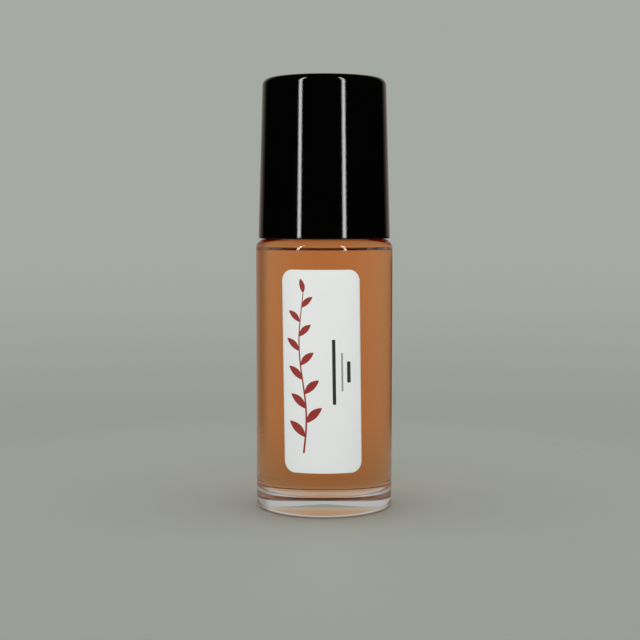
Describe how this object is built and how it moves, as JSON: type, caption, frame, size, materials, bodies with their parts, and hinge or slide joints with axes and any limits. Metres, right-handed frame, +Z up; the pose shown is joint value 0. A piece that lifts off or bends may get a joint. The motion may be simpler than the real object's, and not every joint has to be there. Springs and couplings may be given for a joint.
{
  "type": "roll-on bottle",
  "caption": "Clear glass roll-on bottle of amber perfume oil: heavy base, plain white front label, ball in a snap-in housing, and a tall tapered gloss black screw cap.",
  "frame": {"origin": "centre of the ring that the bottle stands on", "axes": "+Z up along the bottle's axis; the label faces -Y"},
  "size_m": [0.031, 0.0311, 0.0968],
  "materials": {
    "clear_glass": "clear pressed glass",
    "amber_oil": "clear amber oil",
    "label_film": "satin white label stock",
    "natural_plastic": "natural polyethylene",
    "ball_plastic": "polished white polypropylene",
    "seal_plastic": "soft polyethylene",
    "liner_foam": "closed-cell foam",
    "core_plastic": "black polypropylene",
    "gloss_black": "gloss black"
  },
  "bodies": {
    "bottle": {"glass_bottle": "clear_glass", "perfume_oil": "amber_oil", "front_label": "label_film", "roller_housing": "natural_plastic"},
    "ball": {"roller_ball": "ball_plastic"},
    "seal": {"ball_seal": "seal_plastic"},
    "liner": {"cap_liner": "liner_foam"},
    "cap": {"cap_core": "core_plastic", "cap_shell": "gloss_black"}
  },
  "joints": [
    {"name": "ball_roll", "type": "hinge", "parent": "bottle", "child": "ball", "pos_m": [0, 0, 0.0792], "axis": [1, 0, 0], "continuous": true},
    {"name": "cap_lift", "type": "slide", "parent": "bottle", "child": "seal", "axis": [0, 0, 1], "range_m": [0, 0.036]},
    {"name": "cap_rise", "type": "slide", "parent": "seal", "child": "liner", "axis": [0, 0, 1], "range_m": [0, 0.00398]},
    {"name": "cap_turn", "type": "hinge", "parent": "liner", "child": "cap", "pos_m": [0, 0, 0.06105], "axis": [0, 0, 1], "range_deg": [0, 450]}
  ],
  "couplings": [
    {"joint": "cap_rise", "follows": "cap_turn", "m_per_rad": 0.00050611}
  ]
}
